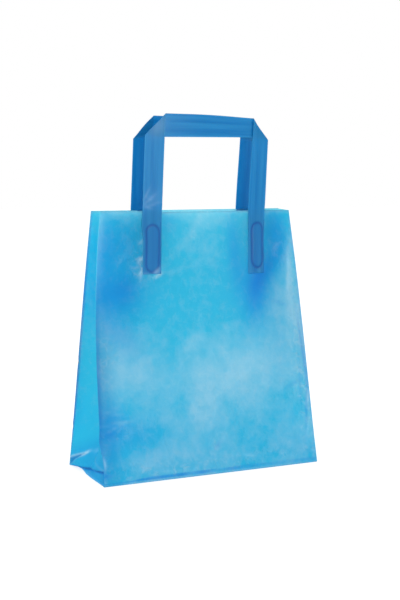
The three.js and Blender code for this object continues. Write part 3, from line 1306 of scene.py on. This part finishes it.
def tape_lines(tree, on_tape, width, length, roughness):
    """Soft lines along the tape, of about a width and a length."""
    drawn_out = add(tree, "ShaderNodeMapping", {
        "Vector": on_tape, "Scale": (1 / width, 1 / length, 1.0),
    })
    return add(tree, "ShaderNodeTexNoise", {
        "Vector": drawn_out, "Scale": 1.0, "Detail": 2.0, "Roughness": roughness,
    }, "Fac")


def tape_material():
    """Flat handle tape of polythene film folded on itself.

    Four layers pass less light than one, so the tape is a deeper blue than the film, with
    lines along its length, painted highlights on its folded edges, a dark weld outline with
    painted shade beside it, and whitened crumples with painted sheen.
    """
    material, tree = new_material("folded polythene film tape")
    on_tape = add(tree, "ShaderNodeUVMap", uv_map="film")
    layer_lines = tape_lines(tree, on_tape, LAYER_LINE_WIDTH, LAYER_LINE_LENGTH, 0.5)
    die_lines = tape_lines(tree, on_tape, DIE_LINE_WIDTH, DIE_LINE_LENGTH, 0.6)
    pale_layers = add(tree, "ShaderNodeMapRange", {
        "Value": layer_lines, "From Min": 0.36, "From Max": 0.66, "To Max": 0.6,
    })
    pale_lines = add(tree, "ShaderNodeMapRange", {
        "Value": die_lines, "From Min": 0.45, "From Max": 0.75, "To Max": 0.22,
    })
    # the edges' paleness is a painted highlight
    pale = sum_shares(tree, [pale_layers, pale_lines, marked(tree, "edge", 0.8)])
    colour = lay_colours(tree, "#067fbe", [
        (pale, "#30a3d6"), (marked(tree, "melt", 0.5), "#0d7cc2"),
        (marked(tree, "weld", 1.0), "#0a60ac"), (marked(tree, "crumple_sheen", 1.0), "#7db6dd"),
    ])
    lined = add(tree, "ShaderNodeBump", {
        "Height": die_lines, "Strength": 0.3, "Distance": DIE_LINE_DEPTH,
    })
    finish_film(tree, colour, linear("#1fb2e4"), 0.3, lined, TAPE_PASSES)
    return material


# ---- camera, floor and lights ----

CAMERA_PLACE = Vector((-537.3, -1084.8, 312.1)) * MM
CAMERA_YAW = math.radians(26.559)
CAMERA_PITCH = math.radians(-6.336)
CAMERA_ROLL = math.radians(0.5215)
CAMERA_LENS_MM = 68.61
CAMERA_SENSOR_MM = 36

FLOOR_REACH = 8.0
FLOOR_DROP = 0.3 * MM
PAPER_GREY = 0.36
PAPER_GLOW = 0.76
ROOM_IN_GLOSS = 0.25

# Softboxes: place and size in metres, power in watts, and whether gloss shows them
SOFTBOXES = {
    "front right softbox": ((1.0, -1.75, 0.95), (0.9, 0.7), 3.5, True),
    "back left softbox": ((-1.0, 1.75, 0.95), (0.9, 0.7), 3.5, True),
    "left softbox": ((-1.9, 0.2, 0.9), (1.2, 1.4), 11.0, False),
    "right softbox": ((1.9, -0.2, 0.9), (1.2, 1.4), 8.0, False),
}


def add_camera():
    """The camera, turned by its yaw from +Y to the right, then its pitch and its roll."""
    forward = Vector((
        math.sin(CAMERA_YAW) * math.cos(CAMERA_PITCH),
        math.cos(CAMERA_YAW) * math.cos(CAMERA_PITCH),
        math.sin(CAMERA_PITCH),
    ))
    level = Vector((math.cos(CAMERA_YAW), -math.sin(CAMERA_YAW), 0))
    above = level.cross(forward)
    right = level * math.cos(CAMERA_ROLL) + above * math.sin(CAMERA_ROLL)
    up = above * math.cos(CAMERA_ROLL) - level * math.sin(CAMERA_ROLL)
    turned = Matrix((right, up, -forward)).transposed().to_4x4()
    data = bpy.data.cameras.new("camera")
    data.lens = CAMERA_LENS_MM
    data.sensor_width = CAMERA_SENSOR_MM
    camera = bpy.data.objects.new("camera", data)
    camera.matrix_world = Matrix.Translation(CAMERA_PLACE) @ turned
    bpy.context.scene.collection.objects.link(camera)
    bpy.context.scene.camera = camera


def add_softbox(name, place_at, size, power, shines):
    """A rectangular light that faces the middle of the bag."""
    data = bpy.data.lights.new(name, "AREA")
    data.shape = "RECTANGLE"
    data.size, data.size_y = size
    data.energy = power
    light = bpy.data.objects.new(name, data)
    bag_middle = Vector((0, 0, BAG_HEIGHT / 2))
    aim = (bag_middle - Vector(place_at)).to_track_quat("-Z", "Y")
    light.matrix_world = Matrix.Translation(place_at) @ aim.to_matrix().to_4x4()
    light.visible_camera = False
    light.visible_glossy = shines
    bpy.context.scene.collection.objects.link(light)


def add_floor():
    """A matt white paper sweep, lit enough to melt into the white behind it."""
    mesh = bpy.data.meshes.new("floor")
    signs = [(-1, -1), (1, -1), (1, 1), (-1, 1)]
    corners = [(x * FLOOR_REACH, y * FLOOR_REACH, -FLOOR_DROP) for x, y in signs]
    mesh.from_pydata(corners, [], [(0, 1, 2, 3)])
    floor = bpy.data.objects.new("floor", mesh)
    bpy.context.scene.collection.objects.link(floor)
    material, tree = new_material("white paper sweep")
    grey = (PAPER_GREY, PAPER_GREY, PAPER_GREY, 1)
    paper = add(tree, "ShaderNodeBsdfDiffuse", {"Color": grey})
    glow = add(tree, "ShaderNodeEmission", {"Strength": PAPER_GLOW})
    lit = add(tree, "ShaderNodeAddShader", {0: paper, 1: glow})
    add(tree, "ShaderNodeOutputMaterial", {"Surface": lit})
    mesh.materials.append(material)
    floor.visible_glossy = False


def add_world():
    """White light all round; gloss sees a dim room, so that only the softboxes shine in it."""
    world = bpy.data.worlds.new("studio")
    world.use_nodes = True
    world.cycles.sampling_method = "NONE"
    tree = world.node_tree
    tree.nodes.clear()
    glossy = add(tree, "ShaderNodeLightPath", output="Is Glossy Ray")
    strength = add(tree, "ShaderNodeMapRange", {
        "Value": glossy, "To Min": 1.0, "To Max": ROOM_IN_GLOSS,
    })
    sky = add(tree, "ShaderNodeBackground", {"Color": (1, 1, 1, 1), "Strength": strength})
    add(tree, "ShaderNodeOutputWorld", {"Surface": sky})
    bpy.context.scene.world = world
    bpy.context.scene.view_settings.view_transform = "Standard"


# ---- assembly ----

add_camera()
add_floor()
add_world()
for softbox_name, settings in SOFTBOXES.items():
    add_softbox(softbox_name, *settings)

body = bag_body()
body.data.materials.append(film_material())
body.data.materials.append(clear_material())
add_wall(body, FILM_THICKNESS, 1)
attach(body, "root")
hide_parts("bag_body")

tape = tape_material()
for handle in HANDLES:
    piece = handle_piece(handle)
    piece.data.materials.append(tape)
    add_wall(piece, TAPE_THICKNESS, 0)
    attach(piece, "root")
    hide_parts(handle.node)
